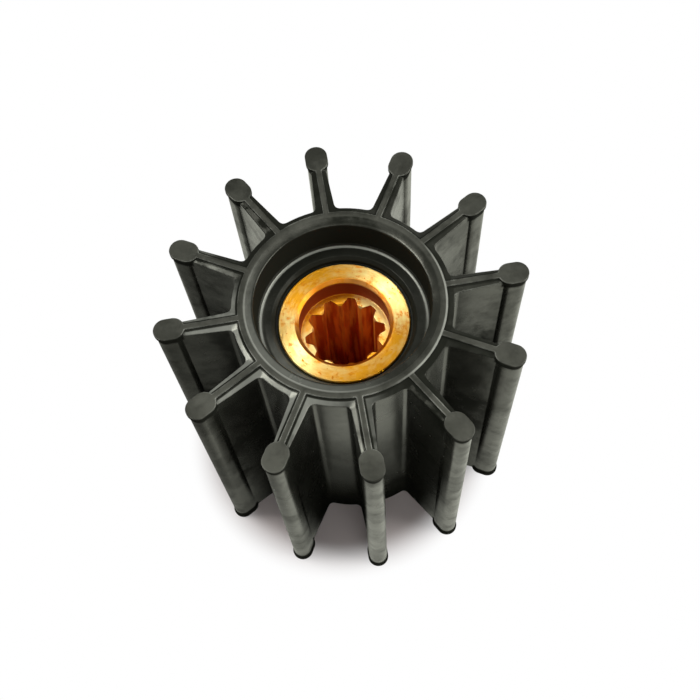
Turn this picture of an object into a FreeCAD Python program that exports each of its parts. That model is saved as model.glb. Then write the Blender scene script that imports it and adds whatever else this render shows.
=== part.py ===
import FreeCAD, Part
import math
import os
import Sketcher

# Flexible rubber impeller of a marine cooling-water pump, in millimetres.
# Two pieces: one rubber moulding with twelve beaded vanes, and the bronze insert with a
# splined bore that the rubber is bonded to. Each piece is drawn about its own middle plane
# and lifted by half the height, so the moulding stands on z = 0 with its shaft along +Z
# and one vane along +X. Both ends are alike, as the impeller can be fitted either way up.

# Driving sizes: name, value
SIZES = (
    # whole moulding
    ("tip_diameter", 65.0),
    ("body_height", 57.0),
    ("vane_count", 12),
    # hub and its two end recesses
    ("hub_diameter", 38.2),
    ("recess_mouth_diameter", 30.6),
    ("recess_floor_diameter", 30.2),
    ("recess_depth", 6.9),
    ("rim_slope_drop", 0.4),
    ("rim_edge_round", 0.3),
    ("recess_corner_round", 0.6),
    # raised sealing ridge that runs round the hub and out along each vane
    ("ridge_width", 1.1),
    ("ridge_height", 0.3),
    ("bevel_width", 1.1),
    ("bevel_angle", 55),
    # vanes
    ("vane_root_thickness", 3.5),
    ("vane_tip_thickness", 2.55),
    ("vane_root_fillet", 1.2),
    ("root_overlap", 1.5),
    # bead at each vane tip, with a wider lip at both ends
    ("bead_thickness", 3.6),
    ("bead_lip", 0.25),
    ("bead_lip_height", 0.9),
    ("bead_reach", 1.3),
    # bronze insert
    ("insert_diameter", 23.6),
    ("insert_sink", 0.9),
    ("insert_edge_chamfer", 0.25),
    ("seat_gap", 0.5),
    ("seat_gap_depth", 0.6),
    ("seat_chamfer", 0.6),
    ("counterbore_diameter", 16.2),
    ("counterbore_depth", 4.8),
    ("counterbore_chamfer", 0.65),
    # spline of ten teeth
    ("spline_count", 10),
    ("spline_major_diameter", 14.6),
    ("spline_minor_diameter", 11.7),
    ("spline_floor_width", 1.3),
    ("spline_flank_angle", 27),
    ("spline_corner_round", 0.3),
    ("spline_lead_chamfer", 0.35),
)

# Expressions that more than one outline uses
HALF_HEIGHT = "sizes.body_height / 2"
HUB_RADIUS = "sizes.hub_diameter / 2"
LAND_OUTER = "(sizes.hub_diameter / 2 - sizes.bevel_width)"
LAND_INNER = "(sizes.hub_diameter / 2 - sizes.bevel_width - sizes.ridge_width)"
RECESS_FLOOR = "(sizes.body_height / 2 - sizes.recess_depth)"
INSERT_RADIUS = "sizes.insert_diameter / 2"
INSERT_HALF = "(sizes.body_height / 2 - sizes.recess_depth - sizes.insert_sink)"
SEAT_RADIUS = "(sizes.insert_diameter / 2 + sizes.seat_gap)"
BEAD_OUTER_CENTRE = "(sizes.tip_diameter / 2 - sizes.bead_lip - sizes.bead_thickness / 2)"
BEAD_INNER_CENTRE = "(sizes.tip_diameter / 2 - sizes.bead_lip - sizes.bead_thickness / 2 - sizes.bead_reach)"
MAJOR_RADIUS = "sizes.spline_major_diameter / 2"
MINOR_RADIUS = "sizes.spline_minor_diameter / 2"
COUNTERBORE_RADIUS = "sizes.counterbore_diameter / 2"

NEAR = 1e-4

doc = FreeCAD.newDocument("rubber_pump_impeller")


def size_sheet():
    """The spreadsheet that holds every driving size under its own name."""
    cells = doc.addObject("Spreadsheet::Sheet", "sizes")
    for row, (alias, value) in enumerate(SIZES, start=1):
        cells.set("A%d" % row, alias)
        cells.set("B%d" % row, str(value))
        cells.setAlias("B%d" % row, alias)
    doc.recompute()


def new_body(name):
    """An empty body whose middle plane lies at half the height of the moulding."""
    body = doc.addObject("PartDesign::Body", name)
    body.Label = name
    body.setExpression(".Placement.Base.z", HALF_HEIGHT)
    return body


def origin_part(body, role):
    """One of the body's own origin planes or axes."""
    return next(item for item in body.Origin.OriginFeatures if item.Role == role)


def new_sketch(body, name, plane, lift=None):
    """A sketch on one of the body's origin planes, or lifted off it by an expression."""
    sketch = body.newObject("Sketcher::SketchObject", name)
    sketch.AttachmentSupport = (origin_part(body, plane), [""])
    sketch.MapMode = "FlatFace"
    if lift:
        sketch.setExpression(".AttachmentOffset.Base.z", lift)
    return sketch


def bind(sketch, name, kind, *where):
    """A dimension of the sketch that follows the last argument, an expression."""
    expression = where[-1]
    value = float(sketch.evalExpression(expression))
    if kind == "Angle":
        value = math.radians(value)
    index = sketch.addConstraint(Sketcher.Constraint(kind, *where[:-1], value))
    sketch.renameConstraint(index, name)
    sketch.setExpression("Constraints." + name, expression + (" * 1 deg" if kind == "Angle" else ""))


def polygon(sketch, corners):
    """A closed outline of straight lines through corners given as pairs of expressions."""
    points = [FreeCAD.Vector(*[float(sketch.evalExpression(text)) for text in corner]) for corner in corners]
    count = len(points)
    for i in range(count):
        sketch.addGeometry(Part.LineSegment(points[i], points[(i + 1) % count]), False)
    for i in range(count):
        sketch.addConstraint(Sketcher.Constraint("Coincident", i, 2, (i + 1) % count, 1))
    for i, (across, along) in enumerate(corners):
        bind(sketch, "across_%d" % i, "DistanceX", -1, 1, i, 1, across)
        bind(sketch, "along_%d" % i, "DistanceY", -1, 1, i, 1, along)


def both_ends(upper):
    """A profile from its upper half: the same corners again below the middle plane."""
    lower = [(across, "-(%s)" % along) for across, along in reversed(upper)]
    return list(upper) + lower


def revolve(body, name, sketch):
    """Turns a profile once round the shaft axis."""
    turned = body.newObject("PartDesign::Revolution", name)
    turned.Profile = sketch
    turned.ReferenceAxis = (origin_part(body, "Z_Axis"), [""])
    turned.Angle = 360
    return turned


def pad(body, name, sketch, length, symmetric=False, reverse=False):
    """Adds a prism of the given length on a sketch."""
    solid = body.newObject("PartDesign::Pad", name)
    solid.Profile = sketch
    solid.setExpression("Length", length)
    solid.SideType = "Symmetric" if symmetric else "One side"
    solid.Reversed = reverse
    return solid


def pocket(body, name, sketch, depth, symmetric=False, taper=None):
    """Cuts a prism down from a sketch, narrowing by the taper angle if one is given."""
    hole = body.newObject("PartDesign::Pocket", name)
    hole.Profile = sketch
    hole.setExpression("Length", depth)
    hole.SideType = "Symmetric" if symmetric else "One side"
    if taper:
        hole.setExpression("TaperAngle", taper)
    return hole


def round_the_shaft(body, name, features, count, mirrored=False):
    """Repeats features round the shaft axis, and at the other end too if mirrored."""
    if not mirrored:
        ring = body.newObject("PartDesign::PolarPattern", name)
        ring.Originals = features
    else:
        group = body.newObject("PartDesign::MultiTransform", name)
        group.Originals = features
        flip = body.newObject("PartDesign::Mirrored", name + "_flip")
        flip.MirrorPlane = (origin_part(body, "XY_Plane"), [""])
        ring = body.newObject("PartDesign::PolarPattern", name + "_ring")
        group.Transformations = [flip, ring]
    ring.Axis = (origin_part(body, "Z_Axis"), [""])
    ring.Angle = 360
    ring.setExpression("Occurrences", count)
    last = group if mirrored else ring
    body.Tip = last
    return last


def fillet(body, name, base, chosen, radius):
    """Rounds the edges of a feature that pass a test."""
    doc.recompute()
    edges = ["Edge%d" % (i + 1) for i, edge in enumerate(base.Shape.Edges) if chosen(edge)]
    blend = body.newObject("PartDesign::Fillet", name)
    blend.Base = (base, edges)
    blend.setExpression("Radius", radius)
    return blend


def number(expression):
    """Value of an expression on the sheet."""
    return float(doc.getObject("sizes").evalExpression(expression.replace("sizes.", "")))


def is_ring(edge, radius, height):
    """True for a full circle round the shaft at a radius, at plus or minus a height."""
    curve = edge.Curve
    if not isinstance(curve, Part.Circle):
        return False
    centred = math.hypot(curve.Center.x, curve.Center.y) < NEAR
    return centred and abs(curve.Radius - radius) < NEAR and abs(abs(curve.Center.z) - height) < NEAR


def is_upright(edge, radius):
    """True for a straight edge along the shaft's direction at a distance from it."""
    if not isinstance(edge.Curve, Part.Line):
        return False
    top, foot = edge.Vertexes[0].Point, edge.Vertexes[-1].Point
    level = math.hypot(top.x - foot.x, top.y - foot.y) < NEAR
    return level and abs(math.hypot(top.x, top.y) - radius) < NEAR


def slot(sketch, inner, outer, radius):
    """A round-ended slot along X between two centres on the X axis."""
    near, far, half = [float(sketch.evalExpression(text)) for text in (inner, outer, radius)]
    up = FreeCAD.Vector(0, 0, 1)
    ends = ((near, math.pi / 2, 1.5 * math.pi), (far, -math.pi / 2, math.pi / 2))
    for centre, start, stop in ends:
        circle = Part.Circle(FreeCAD.Vector(centre, 0, 0), up, half)
        sketch.addGeometry(Part.ArcOfCircle(circle, start, stop), False)
    for side in (1, -1):
        a, b = FreeCAD.Vector(near, side * half, 0), FreeCAD.Vector(far, side * half, 0)
        sketch.addGeometry(Part.LineSegment(a, b), False)
    near_arc, far_arc, top, foot = 0, 1, 2, 3
    for centre in (near_arc, far_arc):
        sketch.addConstraint(Sketcher.Constraint("PointOnObject", centre, 3, -1))
    joins = ((near_arc, 1, top, 1), (far_arc, 2, top, 2), (near_arc, 2, foot, 1), (far_arc, 1, foot, 2))
    for arc, arc_end, line, line_end in joins:
        sketch.addConstraint(Sketcher.Constraint("Tangent", arc, arc_end, line, line_end))
    sketch.addConstraint(Sketcher.Constraint("Equal", near_arc, far_arc))
    bind(sketch, "near_centre", "DistanceX", -1, 1, near_arc, 3, inner)
    bind(sketch, "far_centre", "DistanceX", -1, 1, far_arc, 3, outer)
    bind(sketch, "end_radius", "Radius", near_arc, radius)


def gap_outline(sketch):
    """The sector between the ridges of two neighbouring vanes, from the hub's land outwards."""
    land = number(LAND_OUTER)
    half = number("sizes.ridge_width / 2")
    pitch = 2 * math.pi / number("sizes.vane_count")
    clear = "(sizes.tip_diameter / 2 + 3 * (sizes.bevel_width + sizes.vane_root_fillet))"
    reach = number(clear)
    start = math.asin(half / land)
    first = FreeCAD.Vector(land * math.cos(start), half, 0)
    first_far = FreeCAD.Vector(reach, half, 0)
    turn = FreeCAD.Rotation(FreeCAD.Vector(0, 0, 1), math.degrees(pitch))
    second = turn.multVec(FreeCAD.Vector(first.x, -half, 0))
    second_far = turn.multVec(FreeCAD.Vector(reach, -half, 0))
    circle = Part.Circle(FreeCAD.Vector(0, 0, 0), FreeCAD.Vector(0, 0, 1), land)
    sketch.addGeometry(Part.ArcOfCircle(circle, start, pitch - start), False)
    sketch.addGeometry(Part.LineSegment(first, first_far), False)
    sketch.addGeometry(Part.LineSegment(first_far, second_far), False)
    sketch.addGeometry(Part.LineSegment(second_far, second), False)
    hub_arc, first_ridge, outside, second_ridge = 0, 1, 2, 3
    joins = ((hub_arc, 1, first_ridge, 1), (first_ridge, 2, outside, 1),
             (outside, 2, second_ridge, 1), (second_ridge, 2, hub_arc, 2))
    for join in joins:
        sketch.addConstraint(Sketcher.Constraint("Coincident", *join))
    sketch.addConstraint(Sketcher.Constraint("Coincident", hub_arc, 3, -1, 1))
    sketch.addConstraint(Sketcher.Constraint("Horizontal", first_ridge))
    sketch.addConstraint(Sketcher.Constraint("Equal", first_ridge, second_ridge))
    bind(sketch, "land_radius", "Radius", hub_arc, LAND_OUTER)
    bind(sketch, "first_half_ridge", "DistanceY", -1, 1, first_ridge, 1, "sizes.ridge_width / 2")
    bind(sketch, "second_half_ridge", "Distance", -1, 1, second_ridge, "sizes.ridge_width / 2")
    bind(sketch, "reach", "DistanceX", -1, 1, first_ridge, 2, clear)
    bind(sketch, "vane_pitch", "Angle", first_ridge, 1, second_ridge, 2, "360 / sizes.vane_count")


def rubber_moulding():
    """Hub, vanes, sealing ridges and beads: one moulding in black rubber."""
    body = new_body("rubber_impeller")

    # Hub wall with the seat of the insert and a recess in each end
    section = new_sketch(body, "hub_section", "XZ_Plane")
    upper = [
        (HUB_RADIUS, HALF_HEIGHT),
        (LAND_INNER, HALF_HEIGHT),
        ("sizes.recess_mouth_diameter / 2", HALF_HEIGHT + " - sizes.rim_slope_drop"),
        ("sizes.recess_floor_diameter / 2", RECESS_FLOOR),
        (SEAT_RADIUS + " + sizes.seat_chamfer", RECESS_FLOOR),
        (SEAT_RADIUS, RECESS_FLOOR + " - sizes.seat_chamfer"),
        (SEAT_RADIUS, INSERT_HALF + " - sizes.seat_gap_depth"),
        (INSERT_RADIUS, INSERT_HALF + " - sizes.seat_gap_depth"),
    ]
    polygon(section, both_ends(upper))
    hub = revolve(body, "hub", section)
    mouth = number("sizes.recess_mouth_diameter / 2")
    mouth_height = number(HALF_HEIGHT + " - sizes.rim_slope_drop")
    edge = fillet(body, "rim_edge", hub, lambda e: is_ring(e, mouth, mouth_height), "sizes.rim_edge_round")
    corner = number("sizes.recess_floor_diameter / 2")
    floor = number(RECESS_FLOOR)
    fillet(body, "recess_corner", edge, lambda e: is_ring(e, corner, floor), "sizes.recess_corner_round")

    # Vanes: straight, radial and thinner towards the bead
    plan = new_sketch(body, "vane_plan", "XY_Plane")
    start = HUB_RADIUS + " - sizes.root_overlap"
    thinning = "(sizes.vane_root_thickness - sizes.vane_tip_thickness) / 2"
    slope = thinning + " / (%s - %s)" % (BEAD_INNER_CENTRE, HUB_RADIUS)
    root_half = "sizes.vane_root_thickness / 2 + sizes.root_overlap * " + slope
    tip_half = "sizes.vane_tip_thickness / 2"
    polygon(plan, [
        (start, "-(%s)" % root_half),
        (BEAD_INNER_CENTRE, "-(%s)" % tip_half),
        (BEAD_INNER_CENTRE, tip_half),
        (start, root_half),
    ])
    vane = pad(body, "vane", plan, "sizes.body_height", symmetric=True)
    vanes = round_the_shaft(body, "vanes", [vane], "sizes.vane_count")
    wall = number(HUB_RADIUS)
    roots = fillet(body, "vane_roots", vanes, lambda e: is_upright(e, wall), "sizes.vane_root_fillet")

    # Sealing ridge: left standing where the rims of the gaps between the vanes are lowered and bevelled
    step_plan = new_sketch(body, "gap_step_plan", "XY_Plane", HALF_HEIGHT)
    gap_outline(step_plan)
    step = pocket(body, "gap_step", step_plan, "sizes.ridge_height")
    bevel_plan = new_sketch(body, "gap_bevel_plan", "XY_Plane", HALF_HEIGHT + " - sizes.ridge_height")
    gap_outline(bevel_plan)
    bevel_depth = "(sizes.bevel_width + sizes.vane_root_fillet) / tan(sizes.bevel_angle)"
    bevel = pocket(body, "gap_bevel", bevel_plan, bevel_depth, taper="-sizes.bevel_angle")
    round_the_shaft(body, "ridges", [step, bevel], "sizes.vane_count", mirrored=True)

    # Bead along each tip, with a lip at either end
    bead_plan = new_sketch(body, "bead_plan", "XY_Plane")
    slot(bead_plan, BEAD_INNER_CENTRE, BEAD_OUTER_CENTRE, "sizes.bead_thickness / 2")
    bead = pad(body, "bead", bead_plan, "sizes.body_height", symmetric=True)
    lip_radius = "sizes.bead_thickness / 2 + sizes.bead_lip"
    top_plan = new_sketch(body, "bead_lip_plan", "XY_Plane", HALF_HEIGHT)
    slot(top_plan, BEAD_INNER_CENTRE, BEAD_OUTER_CENTRE, lip_radius)
    lip = pad(body, "bead_lip", top_plan, "sizes.bead_lip_height", reverse=True)
    round_the_shaft(body, "beads", [bead], "sizes.vane_count")
    round_the_shaft(body, "bead_lips", [lip], "sizes.vane_count", mirrored=True)
    return body


def splined_insert():
    """Bronze bush with a counterbore at each end and ten spline teeth between them."""
    body = new_body("splined_insert")

    section = new_sketch(body, "bush_section", "XZ_Plane")
    spline_half = INSERT_HALF + " - sizes.counterbore_depth"
    upper = [
        (INSERT_RADIUS, INSERT_HALF + " - sizes.insert_edge_chamfer"),
        (INSERT_RADIUS + " - sizes.insert_edge_chamfer", INSERT_HALF),
        (COUNTERBORE_RADIUS + " + sizes.counterbore_chamfer", INSERT_HALF),
        (COUNTERBORE_RADIUS, INSERT_HALF + " - sizes.counterbore_chamfer"),
        (COUNTERBORE_RADIUS, spline_half),
        (MINOR_RADIUS + " + sizes.spline_lead_chamfer", spline_half),
        (MINOR_RADIUS, spline_half + " - sizes.spline_lead_chamfer"),
    ]
    polygon(section, both_ends(upper))
    revolve(body, "bush", section)

    # One groove between two teeth, widening towards the axis, then all of them
    groove_plan = new_sketch(body, "groove_plan", "XY_Plane")
    inside = MINOR_RADIUS + " - sizes.spline_lead_chamfer"
    floor_half = "sizes.spline_floor_width / 2"
    mouth_half = "%s + (%s - (%s)) * tan(sizes.spline_flank_angle)" % (floor_half, MAJOR_RADIUS, inside)
    polygon(groove_plan, [
        (inside, "-(%s)" % mouth_half),
        (MAJOR_RADIUS, "-(%s)" % floor_half),
        (MAJOR_RADIUS, floor_half),
        (inside, mouth_half),
    ])
    groove = pocket(body, "groove", groove_plan, "sizes.body_height", symmetric=True)
    grooves = round_the_shaft(body, "grooves", [groove], "sizes.spline_count")
    bottom = math.hypot(number(MAJOR_RADIUS), number(floor_half))
    tip = number(MINOR_RADIUS)
    fillet(body, "spline_corners", grooves,
           lambda e: is_upright(e, bottom) or is_upright(e, tip), "sizes.spline_corner_round")
    return body


def check_document(bodies):
    """Stops if any feature failed or any piece is not one sound solid."""
    for item in doc.Objects:
        if "Invalid" in item.State or "Error" in item.State:
            raise RuntimeError("%s did not build: %s" % (item.Name, item.State))
    for body in bodies:
        shape = body.Shape
        if shape.isNull() or not shape.isValid() or len(shape.Solids) != 1:
            raise RuntimeError("%s is not one sound solid" % body.Label)


def write_parts(bodies):
    """Writes each piece to its own file, under its node's name."""
    os.makedirs("parts", exist_ok=True)
    for body in bodies:
        body.Shape.exportStep("parts/%s.step" % body.Label)
        print("%s: %.1f mm3" % (body.Label, body.Shape.Volume))


size_sheet()
pieces = [rubber_moulding(), splined_insert()]
doc.recompute()
check_document(pieces)
write_parts(pieces)
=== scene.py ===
import math

import bmesh
import bpy
from bpy.props import FloatProperty, FloatVectorProperty, PointerProperty
from bpy.types import Operator, Panel, PropertyGroup
from mathutils import Euler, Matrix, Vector


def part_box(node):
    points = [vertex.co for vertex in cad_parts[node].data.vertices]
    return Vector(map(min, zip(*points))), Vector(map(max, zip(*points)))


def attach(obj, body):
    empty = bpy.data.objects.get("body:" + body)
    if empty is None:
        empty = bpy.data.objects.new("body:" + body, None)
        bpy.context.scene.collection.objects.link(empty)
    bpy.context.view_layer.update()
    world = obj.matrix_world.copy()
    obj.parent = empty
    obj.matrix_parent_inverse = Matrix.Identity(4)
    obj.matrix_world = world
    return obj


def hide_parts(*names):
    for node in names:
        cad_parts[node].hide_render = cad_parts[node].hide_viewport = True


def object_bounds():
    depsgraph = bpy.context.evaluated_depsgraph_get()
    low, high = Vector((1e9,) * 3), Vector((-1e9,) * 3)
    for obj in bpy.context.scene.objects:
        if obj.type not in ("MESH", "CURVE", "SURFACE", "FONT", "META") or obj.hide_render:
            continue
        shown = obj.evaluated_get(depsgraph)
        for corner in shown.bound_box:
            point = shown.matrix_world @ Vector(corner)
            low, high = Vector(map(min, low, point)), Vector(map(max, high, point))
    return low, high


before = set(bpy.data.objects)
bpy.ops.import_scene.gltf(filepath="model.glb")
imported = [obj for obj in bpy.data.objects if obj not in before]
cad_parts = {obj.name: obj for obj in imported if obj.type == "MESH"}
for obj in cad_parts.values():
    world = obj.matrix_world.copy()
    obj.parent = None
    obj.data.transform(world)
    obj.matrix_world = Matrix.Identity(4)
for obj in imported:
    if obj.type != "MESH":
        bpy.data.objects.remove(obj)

bl_info = {
    "name": "Rubber pump impeller",
    "version": (1, 0, 0),
    "blender": (4, 5, 0),
    "location": "View3D > Sidebar > Impeller",
    "description": "Dresses the packed impeller: black rubber moulding, bronze insert and a pale studio",
    "category": "Add Mesh",
}

CAD_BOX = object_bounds()
MOULDING_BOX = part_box("rubber_impeller")
INSERT_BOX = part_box("splined_insert")

MILLIMETRE = 0.001
VANES = 12
TEETH = 10

SAME_CORNER = 1e-7  # metres between corners that count as one
WELD = 2e-6  # metres over which the copies of a wedge are joined
SHARP = math.radians(28)  # folds above this are edges, which get softened
ROUND_STEPS = 4  # faces round each small corner of the teeth
HALVINGS = 50  # steps of a search between two numbers

WHITE = (1.0, 1.0, 1.0, 1.0)
FLOOR_RADIUS = 1.6
FLOOR_DROP = 0.00003  # metres, so that the floor and the moulding's end don't share a plane
CAMERA_PLACE = (-0.005635, -0.081575, 0.210253)
CAMERA_TURN = (25.181, 2.3434, -9.3004)  # degrees


# Sizes and colours


def length(name, description, default):
    """A length in metres with the usual unit of Blender's sliders."""
    return FloatProperty(
        name=name,
        description=description,
        default=default,
        min=0.0,
        precision=5,
        subtype="DISTANCE",
        unit="LENGTH",
    )


def angle(name, description, degrees):
    """An angle, given in degrees."""
    return FloatProperty(
        name=name,
        description=description,
        default=math.radians(degrees),
        subtype="ANGLE",
        unit="ROTATION",
    )


def colour(name, description, default):
    """A linear colour swatch."""
    return FloatVectorProperty(
        name=name,
        description=description,
        default=default,
        size=3,
        min=0.0,
        max=1.0,
        subtype="COLOR",
    )


def power(name, description, default):
    """The power of a lamp in watts."""
    return FloatProperty(
        name=name,
        description=description,
        default=default,
        min=0.0,
        precision=3,
        subtype="POWER",
        unit="POWER",
    )


class MouldingSizes(PropertyGroup):
    """The rubber moulding."""

    tip_diameter: length("Tip diameter", "Over the bead lips", MOULDING_BOX[1].x - MOULDING_BOX[0].x)
    height: length("Height", "Length along the shaft", MOULDING_BOX[1].z - MOULDING_BOX[0].z)
    hub_diameter: length("Hub", "Outside of the hub wall", 0.0382)
    mouth_diameter: length("Recess mouth", "Recess at its mouth", 0.0306)
    floor_diameter: length("Recess floor", "Recess at its floor", 0.0302)
    recess_depth: length("Recess depth", "From the end face to the floor", 0.0069)
    rim_drop: length("Rim drop", "Fall of the rim towards the recess", 0.0004)
    rim_round: length("Rim round", "Round at the mouth of the recess", 0.0003)
    recess_corner: length("Recess corner", "Round at the foot of the recess wall", 0.0006)
    ridge: length("Ridge width", "Sealing ridge on hub and vanes", 0.0011)
    ridge_height: length("Ridge height", "How far the ridge stands above the bevels", 0.0003)
    bevel: length("Bevel width", "Bevel outside the ridge at the hub", 0.0011)
    bevel_angle: angle("Bevel angle", "Lean of the bevels off the shaft", 72)
    root_thickness: length("Vane at the hub", "Vane thickness at the hub wall", 0.0035)
    end_thickness: length("Vane at the bead", "Vane thickness at the bead", 0.00255)
    root_fillet: length("Root fillet", "Fillet between vane and hub", 0.0012)
    bead: length("Bead", "Thickness of the bead column", 0.0036)
    bead_reach: length("Bead reach", "Straight part of the bead's outline", 0.0013)
    lip: length("Lip", "How far the lip stands out from the bead", 0.00025)
    lip_height: length("Lip height", "Thickness of the lip", 0.0009)
    seat_gap: length("Seat groove", "Width of the groove round the insert", 0.0005)
    seat_gap_depth: length("Seat groove depth", "Below the insert's face", 0.0006)
    seat_chamfer: length("Seat chamfer", "Chamfer of the recess floor", 0.0006)
    edge: length("Edge round", "Round on every moulded edge", 0.0002)
    rubber: colour("Rubber", "Black rubber", (0.010, 0.0107, 0.008))
    bloom: colour("Bloom", "Pale bloom on the rubber", (0.036, 0.038, 0.030))
    # Pale worn edges, also used as painted highlight along edges and in the recess corner
    pale_wear_and_painted_highlight: colour("Worn edge", "Rubber polished pale along its edges", (0.30, 0.31, 0.27))
    sheen: colour("Sheen", "Tint of the rubber's gloss", (1.0, 1.0, 0.84))


class InsertSizes(PropertyGroup):
    """The bronze insert."""

    diameter: length("Diameter", "Outside of the insert", INSERT_BOX[1].x - INSERT_BOX[0].x)
    length_over_all: length("Length", "Over both faces", INSERT_BOX[1].z - INSERT_BOX[0].z)
    edge_chamfer: length("Edge chamfer", "Outer edge of the faces", 0.00025)
    counterbore_diameter: length("Counterbore", "Smooth bore above the teeth", 0.0162)
    counterbore_depth: length("Counterbore depth", "From the face to the teeth", 0.0048)
    counterbore_chamfer: length("Counterbore chamfer", "Mouth of the counterbore", 0.00065)
    major_diameter: length("Major diameter", "Over the groove floors", 0.0146)
    minor_diameter: length("Minor diameter", "Over the tooth tips", 0.0117)
    groove_floor: length("Groove floor", "Width of a groove's floor", 0.0013)
    flank_angle: angle("Flank angle", "Lean of a tooth flank off the groove's middle", 27)
    corner_round: length("Corner round", "Rounds of the teeth", 0.0003)
    lead: length("Lead-in", "Chamfer at the ends of the teeth", 0.00035)
    edge: length("Edge round", "Deburred edges", 0.00006)
    gold: colour("Gold", "Turned bronze", (0.95, 0.42, 0.02))
    # Polished bronze, also painted as highlight in two lobes of the faces
    pale: colour("Pale", "Polished bronze", (1.0, 0.78, 0.30))
    orange: colour("Orange", "Tarnished bronze", (0.82, 0.26, 0.015))
    bore: colour("Bore", "Bright runs down the bore", (1.0, 0.37, 0.045))
    film: colour("Film", "Brown film down the bore", (0.60, 0.11, 0.011))
    # Painted shade on the counterbore wall
    painted_counterbore_shade: colour("Stain", "Dark film on the counterbore", (0.24, 0.03, 0.003))


class StudioSettings(PropertyGroup):
    """Floor, lamps and camera."""

    floor: colour("Floor", "Pale studio floor", (0.62, 0.56, 0.545))
    key: power("Key softbox", "Power of the softbox high behind", 0.35)
    front: power("Front softbox", "Power of the softbox high in front", 0.3)
    side: power("Side softbox", "Power of the softbox on the right", 2.6)
    left: power("Left softbox", "Power of the softbox on the left", 1.9)
    sky: FloatProperty(name="Sky", description="Strength of the surroundings", default=0.34, min=0.0)
    lens: FloatProperty(
        name="Lens", description="Focal length", default=52.43, min=1.0, subtype="DISTANCE_CAMERA"
    )


# Mesh helpers


def polar(radius, angle, height=0.0):
    """A point by radius, angle and height."""
    return Vector((radius * math.cos(angle), radius * math.sin(angle), height))


def lifted(points, height):
    """The same plan points at another height."""
    return [Vector((point.x, point.y, height)) for point in points]


def spaced(start, stop, count):
    """count + 1 evenly spaced numbers."""
    return [start + (stop - start) * i / count for i in range(count + 1)]


def arc(centre, radius, start, stop, count):
    """Plan points along a circular arc."""
    return [centre + polar(radius, angle) for angle in spaced(start, stop, count)]


def holds_up_to(low, high, holds):
    """The number between low and high where a test that holds at low stops holding."""
    for _ in range(HALVINGS):
        middle = (low + high) / 2
        if holds(middle):
            low = middle
        else:
            high = middle
    return high


class Wedge:
    """Faces of the upper half of half a repeat, from which a whole piece is copied."""

    def __init__(self):
        self.faces = []

    def face(self, points):
        """One face, with doubled corners left out."""
        corners = []
        for point in points:
            if not corners or (point - corners[-1]).length > SAME_CORNER:
                corners.append(point)
        if (corners[0] - corners[-1]).length < SAME_CORNER:
            corners.pop()
        if len(corners) > 2:
            self.faces.append(corners)

    def strip(self, one, other):
        """Four-sided faces between two rows of points."""
        for i in range(len(one) - 1):
            self.face([one[i], one[i + 1], other[i + 1], other[i]])

    def lathe(self, profile, angles):
        """Turned faces from a profile of (radius, height) pairs."""
        rows = [[polar(radius, angle, height) for angle in angles] for radius, height in profile]
        for one, other in zip(rows, rows[1:]):
            self.strip(one, other)

    def whole(self, name, repeats, lift, edge):
        """Mirrors and turns the wedge into one closed mesh with softened edges."""
        shell = bmesh.new()
        for turn in range(repeats):
            angle = 2 * math.pi * turn / repeats
            cosine, sine = math.cos(angle), math.sin(angle)
            for side in (1, -1):
                for end in (1, -1):
                    for corners in self.faces:
                        shell.faces.new(
                            shell.verts.new(
                                (
                                    cosine * p.x - sine * side * p.y,
                                    sine * p.x + cosine * side * p.y,
                                    lift + end * p.z,
                                )
                            )
                            for p in corners
                        )
        bmesh.ops.remove_doubles(shell, verts=shell.verts, dist=WELD)
        bmesh.ops.recalc_face_normals(shell, faces=shell.faces)
        open_edges = [e for e in shell.edges if len(e.link_faces) != 2]
        if open_edges:
            raise RuntimeError(f"{name} is not closed: {len(open_edges)} edges")
        mesh = bpy.data.meshes.new(name)
        shell.to_mesh(mesh)
        shell.free()
        mesh.shade_smooth()
        mesh.set_sharp_from_angle(angle=SHARP)
        piece = bpy.data.objects.new(name, mesh)
        bpy.context.scene.collection.objects.link(piece)
        soften = piece.modifiers.new("Softened edges", "BEVEL")
        soften.width = edge
        soften.segments = 2
        soften.limit_method = "ANGLE"
        soften.angle_limit = SHARP
        soften.harden_normals = True
        return piece


# Shader helpers


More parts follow.
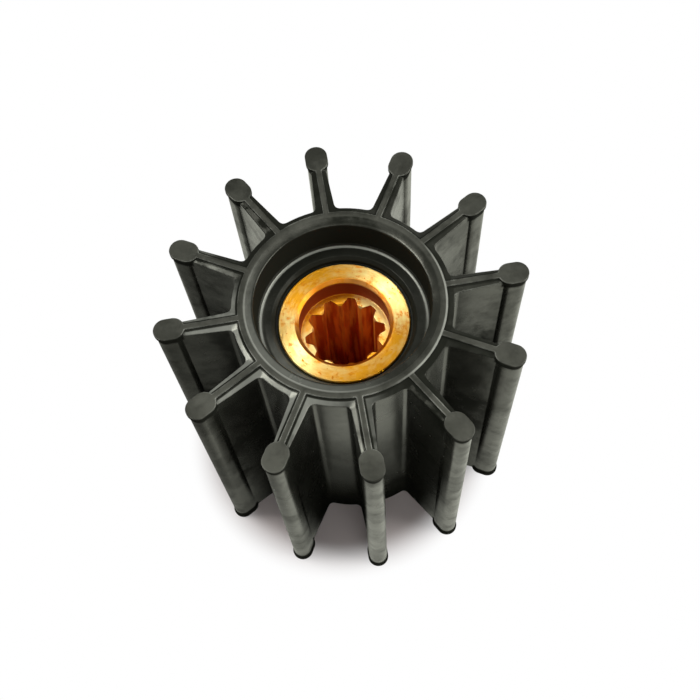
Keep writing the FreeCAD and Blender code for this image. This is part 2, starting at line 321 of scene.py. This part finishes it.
class Field:
    """A socket whose arithmetic adds Math nodes, or Mix and Vector Math nodes for colours and vectors."""

    def __init__(self, finish, socket):
        self.finish = finish
        self.socket = socket

    def _math(self, operation, *values, clamp=False):
        settings = {"operation": operation, "use_clamp": clamp}
        return self.finish.node("ShaderNodeMath", settings, dict(enumerate((self, *values))))

    def _vector(self, operation, *values, output=0):
        inputs = dict(enumerate((self, *values)))
        return self.finish.node("ShaderNodeVectorMath", {"operation": operation}, inputs, output)

    def __add__(self, other):
        return self._math("ADD", other)

    __radd__ = __add__

    def __sub__(self, other):
        return self._math("SUBTRACT", other)

    def __rsub__(self, other):
        return self * -1 + other

    def __mul__(self, other):
        return self._math("MULTIPLY", other)

    __rmul__ = __mul__

    def __truediv__(self, other):
        return self._math("DIVIDE", other)

    def __abs__(self):
        return self._math("ABSOLUTE")

    def sine(self):
        return self._math("SINE")

    def at_least(self, other):
        return self._math("MAXIMUM", other)

    def clamped(self):
        return self._math("ADD", 0.0, clamp=True)

    def rises(self, low, high):
        """A soft step from 0 at low to 1 at high, or from 1 to 0 where low is above high."""
        settings = {"interpolation_type": "SMOOTHSTEP", "clamp": True}
        inputs = {"Value": self, "From Min": min(low, high), "From Max": max(low, high)}
        if low > high:
            inputs.update({"To Min": 1.0, "To Max": 0.0})
        return self.finish.node("ShaderNodeMapRange", settings, inputs)

    def between(self, low, high, soft):
        """1 from low to high, with a step at either side that is soft over twice a width."""
        return self.rises(low - soft, low + soft) * self.rises(high + soft, high - soft)

    def mixed(self, low, high):
        """A colour that goes from low to high as this value goes from 0 to 1."""
        settings = {"data_type": "RGBA", "blend_type": "MIX", "clamp_factor": True}
        return self.finish.node("ShaderNodeMix", settings, {0: self, 6: low, 7: high}, output=2)

    def scaled(self, factors):
        """This vector, multiplied along each axis."""
        return self._vector("MULTIPLY", factors)

    def moved(self, offset):
        """This vector, plus another."""
        return self._vector("ADD", offset)

    def length(self):
        return self._vector("LENGTH", output=1)

    def dot(self, other):
        return self._vector("DOT_PRODUCT", other, output=1)


class Finish:
    """A material under construction. Its place is the point shaded, in millimetres."""

    def __init__(self, name):
        self.material = bpy.data.materials.new(name)
        self.material.use_nodes = True
        self.tree = self.material.node_tree
        self.tree.nodes.clear()
        self.place = self.node("ShaderNodeTexCoord", output="Object").scaled([1 / MILLIMETRE] * 3)

    def node(self, kind, settings=None, inputs=None, output=0):
        """Adds a node: its settings first, then the values or links of its sockets."""
        node = self.tree.nodes.new(kind)
        for name, value in (settings or {}).items():
            setattr(node, name, value)
        for name, value in (inputs or {}).items():
            if isinstance(value, Field):
                self.tree.links.new(value.socket, node.inputs[name])
            else:
                if node.inputs[name].type == "RGBA" and len(value) == 3:
                    value = (*value, 1.0)
                node.inputs[name].default_value = value
        return Field(self, node.outputs[output])

    def noise(self, scale, detail, rough, place=None):
        """Smooth noise from 0 to 1, at a scale per millimetre."""
        inputs = {"Vector": place or self.place, "Scale": scale, "Detail": detail, "Roughness": rough}
        return self.node("ShaderNodeTexNoise", {}, inputs)

    def split(self, vector):
        """The three parts of a vector."""
        node = self.node("ShaderNodeSeparateXYZ", {}, {0: vector})
        return [Field(self, socket) for socket in node.socket.node.outputs]

    def bump(self, height, distance, strength):
        """A normal pushed by a height in units of a distance in metres."""
        return self.node("ShaderNodeBump", {}, {"Height": height, "Distance": distance, "Strength": strength})

    def around(self, x, y, z):
        """A vector from three parts."""
        return self.node("ShaderNodeCombineXYZ", {}, {0: x, 1: y, 2: z})

    def edges(self, width):
        """0 on flat faces, rising towards each edge within a width in metres of it."""
        turned = self.node("ShaderNodeBevel", {"samples": 6}, {"Radius": width})
        return 1 - turned.dot(self.node("ShaderNodeNewGeometry", output="Normal"))

    def shader(self, shade, roughness, normal, specular, metallic=0.0, tint=WHITE):
        """The one surface shader that the finishes use."""
        inputs = {"Base Color": shade, "Roughness": roughness, "Metallic": metallic, "Normal": normal}
        inputs.update({"Specular IOR Level": specular, "Specular Tint": tint})
        return self.node("ShaderNodeBsdfPrincipled", {}, inputs)

    def mixture(self, factor, one, other):
        """One shader where the factor is 0 and another where it is 1."""
        return self.node("ShaderNodeMixShader", {}, {0: factor, 1: one, 2: other})

    def closed(self, shader):
        """The finished material."""
        output = self.tree.nodes.new("ShaderNodeOutputMaterial")
        self.tree.links.new(shader.socket, output.inputs["Surface"])
        return self.material


# Finishes


def black_rubber(sizes):
    """Satin black rubber with painted shade, dull and darker in its hollows; pale along its edges, partly
    wear and partly painted highlight; painted highlight on the bevels of one side.
    """
    finish = Finish("black_rubber")
    _, y, z = finish.split(finish.place)
    radius = finish.place.scaled((1, 1, 0)).length()
    half_height = sizes.height / 2 / MILLIMETRE
    from_end = half_height - abs(z - half_height)
    mouth = sizes.mouth_diameter / 2 / MILLIMETRE
    floor = sizes.recess_depth / MILLIMETRE
    hub = sizes.hub_diameter / 2 / MILLIMETRE
    bead = (sizes.tip_diameter / 2 - sizes.lip - sizes.bead - sizes.bead_reach) / MILLIMETRE
    land_outer = hub - sizes.bevel / MILLIMETRE
    land_inner = land_outer - sizes.ridge / MILLIMETRE
    seat = (INSERT_BOX[1].x + sizes.seat_gap) / MILLIMETRE

    clouds = finish.noise(0.13, 4, 0.62)
    flow = finish.noise(0.5, 3, 0.55, finish.place.scaled((1, 1, 0.15)))
    waves = finish.noise(0.16, 2, 0.4)
    smudges = finish.noise(0.32, 3, 0.7)
    specks = finish.noise(2.6, 2, 0.6)
    grain = finish.noise(6.0, 2, 0.6)

    def towards(direction, start, stop):
        """1 on one side of the shaft and 0 on the other, with a soft step from start to stop."""
        return finish.place.dot((*direction, 0.0)).rises(start, stop)

    # Where on the moulding: every step in millimetres
    on_end = from_end.rises(0.08, 0.0)
    at_step = from_end.rises(0.12, 0.25) * from_end.rises(0.44, 0.38)
    on_recess_wall = radius.rises(mouth + 0.4, mouth + 0.05) * from_end.rises(0.35, 0.75)
    on_recess_wall = on_recess_wall * from_end.rises(floor - 0.5, floor - 1.0)
    on_recess_floor = radius.rises(mouth - 0.7, mouth - 1.1) * from_end.rises(floor - 1.0, floor - 0.6)
    in_corner = radius.rises(mouth - 0.85, mouth - 0.65) * radius.rises(mouth - 0.28, mouth - 0.45)
    in_corner = in_corner * from_end.rises(floor - 0.55, floor - 0.3)
    in_gap = radius.rises(hub - 0.4, hub + 0.1) * radius.rises(bead + 2.0, bead + 0.8)
    in_gap = in_gap * from_end.rises(8.0, 26.0)
    under_lip = radius.rises(bead - 0.1, bead + 0.5) * from_end.rises(0.15, 0.3) * from_end.rises(2.4, 1.6)
    on_bead = radius.rises(bead - 0.8, bead + 1.2)
    on_vane_ridge = radius.between(hub + 0.6, bead - 0.5, 0.3) * on_end
    at_front_vanes = y.rises(-15.0, -20.0)
    on_hub_wall = radius.rises(hub + 1.6, hub + 0.6) * from_end.rises(1.0, 1.6)
    on_bevel = from_end.between(0.41, 0.75, 0.03) * radius.rises(land_outer, land_outer + 0.1)
    on_bevel = on_bevel * (1 - on_bead)
    on_rim_slope = radius.between(mouth + 0.35, land_inner, 0.15) * from_end.rises(0.7, 0.4)
    on_inner_edge = radius.between(land_inner - 0.25, land_inner + 0.1, 0.1) * from_end.rises(0.3, 0.15)
    on_outer_edge = radius.between(land_outer - 0.35, land_outer, 0.08) * from_end.rises(0.2, 0.1)
    on_seat = radius.between(seat + 0.1, seat + 1.7, 0.2) * from_end.rises(floor - 0.3, floor - 0.1)
    along_edges = (finish.edges(0.0003) * 8).clamped()
    on_left = towards((-0.87, -0.50), 0.0, 16.0)
    on_right = towards((0.94, -0.34), 10.0, 16.0)
    at_back = towards((0.6, 0.8), 6.0, 15.0)
    at_back_left = towards((-0.5, 0.87), 8.0, 16.0)
    at_front_right = towards((0.4, -0.92), 14.0, 20.0)
    in_front = towards((-0.5, -0.87), 4.0, 12.0)

    # Painted highlight: paler on the left bevels, rim slope and inner rim edge, at the front of the seat and
    # along the right outer edge
    painted_side_highlight = on_left * (on_rim_slope * 0.2 + on_inner_edge * 0.25 + on_bevel * 0.4)
    painted_side_highlight = painted_side_highlight + in_front * on_seat * 0.38 + on_right * on_outer_edge * 0.6
    painted_side_highlight = painted_side_highlight * (clouds * 1.2 + 0.4)

    # Painted shade: dull and darker in the recess, in the gaps between the vanes, under the lips, at the foot
    # of the ridge step, on the bevels of some sides and along the back vane ridges; also dull in random
    # patches, fewer on the hub wall
    mottled = smudges.rises(0.45, 0.7) * (0.25 - on_hub_wall * 0.15)
    mottled = mottled + clouds.rises(0.55, 0.40) * 0.3 * (1 - on_hub_wall)
    painted_shade_and_dull_patches = (
        on_recess_wall
        + on_rim_slope * at_back * 0.5
        + on_recess_floor * 0.8
        + in_gap * 0.6
        + under_lip
        + mottled
        + at_step * radius.rises(land_outer - 0.1, land_outer + 0.05) * 0.8
        + on_bevel * on_right * radius.rises(hub + 0.2, hub) * 0.6
        + on_bevel * (at_back_left * 0.85 + at_front_right * 0.65)
        + along_edges * on_vane_ridge * (1 - at_front_vanes) * 0.7
    )
    painted_shade_and_dull_patches = (painted_shade_and_dull_patches * (1 - in_corner) - painted_side_highlight).clamped()

    # Pale along the edges, partly wear and partly painted highlight, with more on the front vane ridges and a
    # painted highlight ring in the recess corner, over rubber bloomed in patches
    pale_wear_and_painted_highlight = along_edges * (1 - at_step) * (1 - painted_shade_and_dull_patches) * (1 - on_bead * 0.75)
    pale_wear_and_painted_highlight = pale_wear_and_painted_highlight * (clouds.rises(0.35, 0.65) + 0.3 + on_vane_ridge * at_front_vanes)
    pale_wear_and_painted_highlight = pale_wear_and_painted_highlight.at_least(in_corner * (clouds * 0.8 + 0.3) * y.rises(-7.0, 0.0)).at_least(painted_side_highlight)
    bloom = (clouds.rises(0.40, 0.72) * 0.45 + specks.rises(0.6, 0.8) * 0.2 + on_end * 0.1).clamped()
    shade = pale_wear_and_painted_highlight.mixed(bloom.mixed(tuple(sizes.rubber), tuple(sizes.bloom)), tuple(sizes.pale_wear_and_painted_highlight))
    roughness = clouds * 0.16 + flow * 0.08 + on_end * 0.08 + 0.13
    normal = finish.bump(waves * 0.9 + flow * 0.03 + grain * 0.01, 0.00022, 0.8)
    tint = tuple(sizes.sheen)
    satin = finish.shader(shade, roughness, normal, specular=0.5, tint=tint)
    # The dull shader is the look of the painted shade
    dull = finish.shader(tuple(sizes.rubber), 0.7, normal, specular=0.03, tint=tint)
    return finish.closed(finish.mixture(painted_shade_and_dull_patches, satin, dull))


def turned_bronze(sizes):
    """Turned bronze faces with smeared tarnish and two painted highlight lobes, a counterbore painted dark as
    shade, and a brown film that runs down the bore.
    """
    finish = Finish("turned_bronze")
    x, y, z = finish.split(finish.place)
    radius = finish.place.scaled((1, 1, 0)).length()
    half_length = sizes.length_over_all / 2 / MILLIMETRE
    middle = (INSERT_BOX[1].z + INSERT_BOX[0].z) / 2 / MILLIMETRE
    from_face = half_length - abs(z - middle)
    facing = finish.node("ShaderNodeNewGeometry", output="Normal")
    upright = abs(finish.split(facing)[2]).rises(0.75, 0.35)
    shelf = sizes.counterbore_depth / MILLIMETRE
    bore = sizes.counterbore_diameter / 2 / MILLIMETRE
    outside = sizes.diameter / 2 / MILLIMETRE
    turning_pitch = 0.16

    patches = finish.noise(0.22, 4, 0.6)
    stains = finish.noise(0.6, 4, 0.65)
    pits = finish.noise(1.5, 1, 0.3).rises(0.70, 0.76)
    smears = finish.noise(1.0, 3, 0.6, finish.around(x / radius * 5, y / radius * 5, radius * 1.3))
    rings = finish.noise(1.0, 2, 0.6, finish.around(radius * 3.0, 0.0, z * 0.2))
    runs = finish.noise(1.0, 3, 0.5, finish.around(x / radius * 6, y / radius * 6, z * 0.08))

    # Faces: gold, painted pale in two highlight lobes on opposite sides and pale in random patches, with
    # orange smears and pits
    painted_highlight_lobes = abs((x * 0.906 + y * 0.423) / radius).rises(0.45, 0.95)
    tarnish = patches.rises(0.30, 0.66) * 0.5 + smears.rises(0.25, 0.80) * 0.5 - painted_highlight_lobes * 0.75 + 0.45
    face = tarnish.clamped().mixed(tuple(sizes.pale), tuple(sizes.gold))
    spots = (stains.rises(0.50, 0.70) * smears.rises(0.38, 0.58)).at_least(pits)
    face = spots.mixed(face, tuple(sizes.orange))
    on_chamfer = radius.rises(bore + 0.9, bore + 0.6) * from_face.rises(0.75, 0.6)
    face = (on_chamfer * 0.7).mixed(face, tuple(sizes.orange))

    # Bore: a counterbore painted dark as shade above runs of film down the teeth
    in_bore = from_face.rises(0.25, 1.1) * radius.rises(bore + 1.3, bore + 0.5)
    on_teeth = from_face.rises(shelf - 0.4, shelf + 0.6)
    streaks = runs.rises(0.40, 0.60).mixed(tuple(sizes.film), tuple(sizes.bore))
    film = on_teeth.mixed(tuple(sizes.painted_counterbore_shade), streaks)
    filmed = in_bore * upright
    shade = filmed.mixed(face, film)

    roughness = stains * 0.14 + rings * 0.10 + in_bore * 0.08 + filmed * (1 - on_teeth) * 0.3 + 0.20
    grooves = (radius * (2 * math.pi / turning_pitch)).sine() * 0.5 + rings * 2.0
    dents = smears.rises(0.62, 0.72) * radius.rises(outside - 0.8, outside - 0.2) * -6
    normal = finish.bump(grooves * (1 - in_bore) + stains * 0.5 + dents, 0.000026, 1.0)
    return finish.closed(finish.shader(shade, roughness, normal, metallic=1 - filmed * 0.6, specular=0.25))


# Pieces


def vane_contour(sizes):
    """Plan of half a vane repeat: hub wall, root fillet, vane side and bead."""
    hub = sizes.hub_diameter / 2
    outer_centre = sizes.tip_diameter / 2 - sizes.lip - sizes.bead / 2
    inner_centre = outer_centre - sizes.bead_reach
    root = Vector((hub, sizes.root_thickness / 2, 0))
    end = Vector((inner_centre, sizes.end_thickness / 2, 0))
    along = (end - root).normalized()
    out = Vector((-along.y, along.x, 0))
    offset = root.dot(out) + sizes.root_fillet
    reach = math.sqrt((hub + sizes.root_fillet) ** 2 - offset**2)
    centre = out * offset + along * reach
    on_hub = centre.normalized() * hub
    on_vane = centre - out * sizes.root_fillet
    turn_hub = math.atan2(-centre.y, -centre.x)
    turn_vane = math.atan2(-out.y, -out.x)
    half_pitch = math.pi / VANES
    wall = arc(Vector(), hub, half_pitch, math.atan2(on_hub.y, on_hub.x), count=6)
    fillet = arc(centre, sizes.root_fillet, turn_hub, turn_vane, count=8)
    return wall, fillet, on_vane, along, inner_centre, outer_centre


def on_circle(start, along, centre, radius):
    """Where a line that starts outside a circle first meets it."""
    gap = centre - start
    middle = gap.dot(along)
    miss = (gap - along * middle).length
    return start + along * (middle - math.sqrt(radius**2 - miss**2))


def bead_outline(inner_centre, outer_centre, radius, start_angle):
    """Half the outline of a bead from a start on its inner arc to the tip."""
    inner = Vector((inner_centre, 0, 0))
    outer = Vector((outer_centre, 0, 0))
    inner_arc = arc(inner, radius, start_angle, math.pi / 2, count=6)
    return inner_arc + arc(outer, radius, math.pi / 2, 0, count=9)


def rubber_wedge(sizes):
    """Upper half of half a vane repeat of the moulding, about its middle plane."""
    half_height = sizes.height / 2
    wedge = Wedge()
    ridge = sizes.ridge / 2
    land_outer = sizes.hub_diameter / 2 - sizes.bevel
    land_inner = land_outer - sizes.ridge
    mouth = sizes.mouth_diameter / 2
    floor = half_height - sizes.recess_depth
    foot = sizes.floor_diameter / 2
    seat = INSERT_BOX[1].x
    insert_face = INSERT_BOX[1].z - sizes.height / 2
    angles = spaced(0, math.pi / VANES, count=9)

    # Recess, seat groove and rim
    corner = sizes.recess_corner
    rim = sizes.rim_round
    slope = math.atan2(sizes.rim_drop, land_inner - mouth)
    rim_centre = half_height - sizes.rim_drop + rim * (math.tan(slope) - 1 / math.cos(slope))
    profile = [(land_inner, half_height)]
    for turn in spaced(math.pi / 2 + slope, math.pi, count=4):
        point = polar(rim, turn)
        profile.append((mouth + rim + point.x, rim_centre + point.y))
    for turn in spaced(0, -math.pi / 2, count=5):
        point = polar(corner, turn)
        profile.append((foot - corner + point.x, floor + corner + point.y))
    profile += [
        (seat + sizes.seat_gap + sizes.seat_chamfer, floor),
        (seat + sizes.seat_gap, floor - sizes.seat_chamfer),
        (seat + sizes.seat_gap, insert_face - sizes.seat_gap_depth),
        (seat, insert_face - sizes.seat_gap_depth),
        (seat, 0),
    ]
    wedge.lathe(profile, angles)

    # Plan of the walls
    wall, fillet, on_vane, along, inner_centre, outer_centre = vane_contour(sizes)
    bead = sizes.bead / 2
    lip = bead + sizes.lip
    inner = Vector((inner_centre, 0, 0))
    at_lip = on_circle(on_vane, along, inner, lip)
    at_bead = on_circle(on_vane, along, inner, bead)
    lip_foot = half_height - sizes.lip_height
    shoulder = half_height - sizes.ridge_height

    def bevelled(point):
        """A plan point of the walls, on the bevel that falls away from the ridge."""
        away = min(point.length - land_outer, point.y - ridge)
        return Vector((point.x, point.y, shoulder - away / math.tan(sizes.bevel_angle)))

    # Sealing ridge: hub land, vane ridge and the bead's flat end, one flat face on a low step
    ridge_corner = Vector((math.sqrt(land_outer**2 - ridge**2), ridge, 0))
    start = math.pi - math.asin(ridge / lip)
    side_start = math.atan2(at_lip.y, at_lip.x - inner_centre)
    lip_start = arc(inner, lip, start, side_start, count=3)
    lip_rest = bead_outline(inner_centre, outer_centre, lip, side_start)
    fold = next(i for i, p in enumerate(fillet) if p.y - ridge < p.length - land_outer)
    mitre = meeting(fillet[fold - 1], fillet[fold], ridge, land_outer)
    hub_line = wall + fillet[1:fold] + [mitre]
    vane_line = [mitre] + fillet[fold:]
    hub_feet = [p.normalized() * land_outer for p in hub_line]
    vane_feet = [Vector((p.x, ridge, 0)) for p in vane_line]
    edge = hub_feet + [ridge_corner] + vane_feet + lip_start[:1]
    land = [polar(land_inner, angle) for angle in angles]
    wedge.face(lifted(land + edge + lip_start[1:] + lip_rest[1:], half_height))
    wedge.strip(lifted(edge, half_height), lifted(edge, shoulder))

    # Bevels and walls
    hub_foot, corner_foot, vane_foot = lifted([hub_feet[-1], ridge_corner, vane_feet[0]], shoulder)
    wedge.strip(lifted(hub_feet, shoulder), [bevelled(p) for p in hub_line])
    wedge.face([hub_foot, corner_foot, bevelled(mitre)])
    wedge.face([corner_foot, vane_foot, bevelled(mitre)])
    wedge.strip(lifted(vane_feet, shoulder), [bevelled(p) for p in vane_line])
    lip_edge = [bevelled(p) for p in lip_start]
    at_vane = bevelled(vane_line[-1])
    wedge.face(lifted(vane_feet[-1:], shoulder) + lip_edge + [at_vane])
    walls = hub_line + vane_line[1:]
    wedge.strip([bevelled(p) for p in walls], lifted(walls, 0))
    under_lip = lifted([at_lip, at_bead], lip_foot)
    wedge.face([at_vane, lip_edge[-1]] + under_lip + lifted([at_bead, vane_line[-1]], 0))

    # Bead with its lip
    bead_start = math.atan2(at_bead.y, at_bead.x - inner_centre)
    column = bead_outline(inner_centre, outer_centre, bead, bead_start)
    wedge.strip(lifted(lip_start, half_height), lip_edge)
    first, second = lip_rest[0], lip_rest[1]
    wedge.face(lifted([second, first], half_height) + [lip_edge[-1]] + lifted([first, second], lip_foot))
    wedge.strip(lifted(lip_rest[1:], half_height), lifted(lip_rest[1:], lip_foot))
    wedge.strip(lifted(lip_rest, lip_foot), lifted(column, lip_foot))
    wedge.strip(lifted(column, lip_foot), lifted(column, 0))
    return wedge


def meeting(on_hub_side, on_vane_side, ridge, land):
    """The plan point between two others where both bevels have fallen as far."""

    def nearer_the_hub(part):
        point = on_hub_side.lerp(on_vane_side, part)
        return point.y - ridge > point.length - land

    return on_hub_side.lerp(on_vane_side, holds_up_to(0.0, 1.0, nearer_the_hub))


def tooth_outline(sizes, tip_radius):
    """Plan from the middle of a groove's floor to the middle of a tooth."""
    major = sizes.major_diameter / 2
    half_floor = sizes.groove_floor / 2
    tip_round = sizes.corner_round * 0.7

    def on_flank(x):
        """The point of the straight flank at a distance along the groove's middle line."""
        return Vector((x, half_floor + (major - x) * math.tan(sizes.flank_angle), 0))

    tip = on_flank(holds_up_to(0.0, major, lambda x: on_flank(x).length <= tip_radius))
    corner = on_flank(major)
    just_beyond = polar(tip_radius, math.atan2(tip.y, tip.x) + 0.02)
    outline = [Vector((major, 0, 0)), Vector((major, half_floor / 2, 0))]
    outline += rounded(outline[-1], corner, tip, sizes.corner_round)
    outline += rounded(corner, tip, just_beyond, tip_round)
    last = math.atan2(outline[-1].y, outline[-1].x)
    outline += arc(Vector(), tip_radius, last, math.pi / TEETH, count=4)[1:]
    return outline


def rounded(before, corner, after, radius):
    """Points of a round that replaces a corner of a plan."""
    back = (before - corner).normalized()
    ahead = (after - corner).normalized()
    half = back.angle(ahead) / 2
    centre = corner + (back + ahead).normalized() * (radius / math.sin(half))
    start = corner + back * (radius / math.tan(half)) - centre
    stop = corner + ahead * (radius / math.tan(half)) - centre
    turns = [start.slerp(stop, part) for part in spaced(0, 1, ROUND_STEPS)]
    return [centre + turn.normalized() * radius for turn in turns]


def bronze_wedge(sizes):
    """Upper half of half a tooth repeat of the insert, about its middle plane."""
    half_height = sizes.length_over_all / 2
    wedge = Wedge()
    outside = sizes.diameter / 2
    bore = sizes.counterbore_diameter / 2
    shelf = half_height - sizes.counterbore_depth
    tip = sizes.minor_diameter / 2
    angles = spaced(0, math.pi / TEETH, count=12)
    wedge.lathe(
        [
            (outside, 0),
            (outside, half_height - sizes.edge_chamfer),
            (outside - sizes.edge_chamfer, half_height),
            (bore + sizes.counterbore_chamfer, half_height),
            (bore, half_height - sizes.counterbore_chamfer),
            (bore, shelf),
        ],
        angles,
    )
    mouth = tooth_outline(sizes, tip + sizes.lead)
    teeth = tooth_outline(sizes, tip)
    ring = [polar(bore, angle) for angle in angles]
    wedge.face(lifted(ring + mouth[::-1], shelf))
    wedge.strip(lifted(mouth, shelf), lifted(teeth, shelf - sizes.lead))
    wedge.strip(lifted(teeth, shelf - sizes.lead), lifted(teeth, 0))
    return wedge


def dressed(piece, node, material):
    """Puts a finish on a piece and lets it stand for its CAD node."""
    piece.data.materials.append(material)
    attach(piece, "root")
    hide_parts(node)


class IMPELLER_OT_moulding(Operator):
    """Builds the rubber moulding with its vanes, ridges and beads"""

    bl_idname = "impeller.moulding"
    bl_label = "Rubber moulding"

    def execute(self, context):
        sizes = context.scene.impeller_moulding
        piece = rubber_wedge(sizes).whole("rubber_moulding", VANES, sizes.height / 2, sizes.edge)
        dressed(piece, "rubber_impeller", black_rubber(sizes))
        return {"FINISHED"}


class IMPELLER_OT_insert(Operator):
    """Builds the bronze insert with its splined bore"""

    bl_idname = "impeller.insert"
    bl_label = "Bronze insert"

    def execute(self, context):
        sizes = context.scene.impeller_insert
        middle = (INSERT_BOX[0].z + INSERT_BOX[1].z) / 2
        piece = bronze_wedge(sizes).whole("bronze_insert", TEETH, middle, sizes.edge)
        dressed(piece, "splined_insert", turned_bronze(sizes))
        return {"FINISHED"}


# Studio


def studio_floor(settings):
    """A pale floor: white to the camera beyond the shadow; to reflections a painted reflection, a pale yellow
    glow that fades near the moulding and at the front left.
    """
    finish = Finish("studio_floor")
    lit = finish.node("ShaderNodeBsdfDiffuse", {}, {"Color": tuple(settings.floor), "Roughness": 0.5})
    white = finish.node("ShaderNodeEmission", {}, {"Color": WHITE, "Strength": 1.0})
    camera_ray = finish.node("ShaderNodeLightPath", output="Is Camera Ray")
    glossy_ray = finish.node("ShaderNodeLightPath", output="Is Glossy Ray")
    x, y, _ = finish.split(finish.place)
    beyond_shadow = finish.place.moved((3, 1, 0)).length().rises(25.0, 34.0)
    # Painted reflection: glossy rays see the floor glow, dark near the moulding and dimmer to the front left
    not_front_left = (y.at_least(0.0) * 0.8 + x).rises(-40.0, 0.0)
    mirrored = finish.place.length().rises(22.5, 34.5) * (not_front_left * 0.75 + 0.25)
    colour_mirrored = mirrored.mixed((0.0, 0.0, 0.0), (0.98, 1.0, 0.87))
    painted_reflection_glow = finish.node("ShaderNodeEmission", {}, {"Color": colour_mirrored, "Strength": 1.0})
    seen = finish.mixture(camera_ray * beyond_shadow, lit, white)
    material = finish.closed(finish.mixture(glossy_ray, seen, painted_reflection_glow))
    bpy.ops.mesh.primitive_circle_add(
        vertices=96, radius=FLOOR_RADIUS, fill_type="NGON", location=(0, 0, -FLOOR_DROP)
    )
    floor = bpy.context.object
    floor.name = "studio_floor"
    floor.data.materials.append(material)


def surroundings(settings):
    """Soft even sky, white where the camera sees it."""
    world = bpy.data.worlds.new("pale_surroundings")
    bpy.context.scene.world = world
    world.use_nodes = True
    nodes = world.node_tree.nodes
    links = world.node_tree.links
    sky = nodes["Background"]
    sky.inputs["Color"].default_value = WHITE
    sky.inputs["Strength"].default_value = settings.sky
    white = nodes.new("ShaderNodeBackground")
    white.inputs["Color"].default_value = WHITE
    white.inputs["Strength"].default_value = 1.0
    path = nodes.new("ShaderNodeLightPath")
    mix = nodes.new("ShaderNodeMixShader")
    links.new(path.outputs["Is Camera Ray"], mix.inputs[0])
    links.new(sky.outputs[0], mix.inputs[1])
    links.new(white.outputs[0], mix.inputs[2])
    links.new(mix.outputs[0], nodes["World Output"].inputs["Surface"])


def lamp(name, place, size, watts):
    """A square softbox aimed at the middle of the impeller."""
    light = bpy.data.lights.new(name, "AREA")
    light.shape = "SQUARE"
    light.size = size
    light.energy = watts
    holder = bpy.data.objects.new(name, light)
    bpy.context.scene.collection.objects.link(holder)
    holder.location = place
    middle = (CAD_BOX[0] + CAD_BOX[1]) / 2
    holder.rotation_euler = (middle - Vector(place)).to_track_quat("-Z", "Y").to_euler()


def camera(settings):
    """The camera at the angle of the photograph."""
    view = bpy.data.cameras.new("photo_camera")
    view.lens = settings.lens
    view.sensor_width = 36.0
    holder = bpy.data.objects.new("photo_camera", view)
    bpy.context.scene.collection.objects.link(holder)
    holder.location = CAMERA_PLACE
    holder.rotation_euler = Euler([math.radians(turn) for turn in CAMERA_TURN])
    bpy.context.scene.camera = holder


class IMPELLER_OT_studio(Operator):
    """Sets the pale floor, the lamps and the camera"""

    bl_idname = "impeller.studio"
    bl_label = "Studio"

    def execute(self, context):
        settings = context.scene.impeller_studio
        context.scene.view_settings.view_transform = "Standard"
        studio_floor(settings)
        surroundings(settings)
        lamp("key_softbox", (0.05, 0.16, 0.56), 0.20, settings.key)
        lamp("front_softbox", (0.04, -0.30, 0.46), 0.20, settings.front)
        lamp("side_softbox", (0.42, -0.08, 0.30), 0.36, settings.side)
        lamp("left_softbox", (-0.28, 0.10, 0.52), 0.20, settings.left)
        camera(settings)
        return {"FINISHED"}


class IMPELLER_PT_panel(Panel):
    """Sizes, colours and steps of the impeller"""

    bl_label = "Pump impeller"
    bl_idname = "IMPELLER_PT_panel"
    bl_space_type = "VIEW_3D"
    bl_region_type = "UI"
    bl_category = "Impeller"

    def draw(self, context):
        layout = self.layout
        scene = context.scene
        for step, settings in (
            ("impeller.moulding", scene.impeller_moulding),
            ("impeller.insert", scene.impeller_insert),
            ("impeller.studio", scene.impeller_studio),
        ):
            box = layout.box()
            for name in settings.__annotations__:
                box.prop(settings, name)
            box.operator(step)


CLASSES = (
    MouldingSizes,
    InsertSizes,
    StudioSettings,
    IMPELLER_OT_moulding,
    IMPELLER_OT_insert,
    IMPELLER_OT_studio,
    IMPELLER_PT_panel,
)


def register():
    for item in CLASSES:
        bpy.utils.register_class(item)
    bpy.types.Scene.impeller_moulding = PointerProperty(type=MouldingSizes)
    bpy.types.Scene.impeller_insert = PointerProperty(type=InsertSizes)
    bpy.types.Scene.impeller_studio = PointerProperty(type=StudioSettings)


def unregister():
    del bpy.types.Scene.impeller_moulding
    del bpy.types.Scene.impeller_insert
    del bpy.types.Scene.impeller_studio
    for item in reversed(CLASSES):
        bpy.utils.unregister_class(item)


def main():
    """Builds everything in order."""
    register()
    bpy.ops.impeller.moulding()
    bpy.ops.impeller.insert()
    bpy.ops.impeller.studio()


if __name__ == "__main__":
    main()
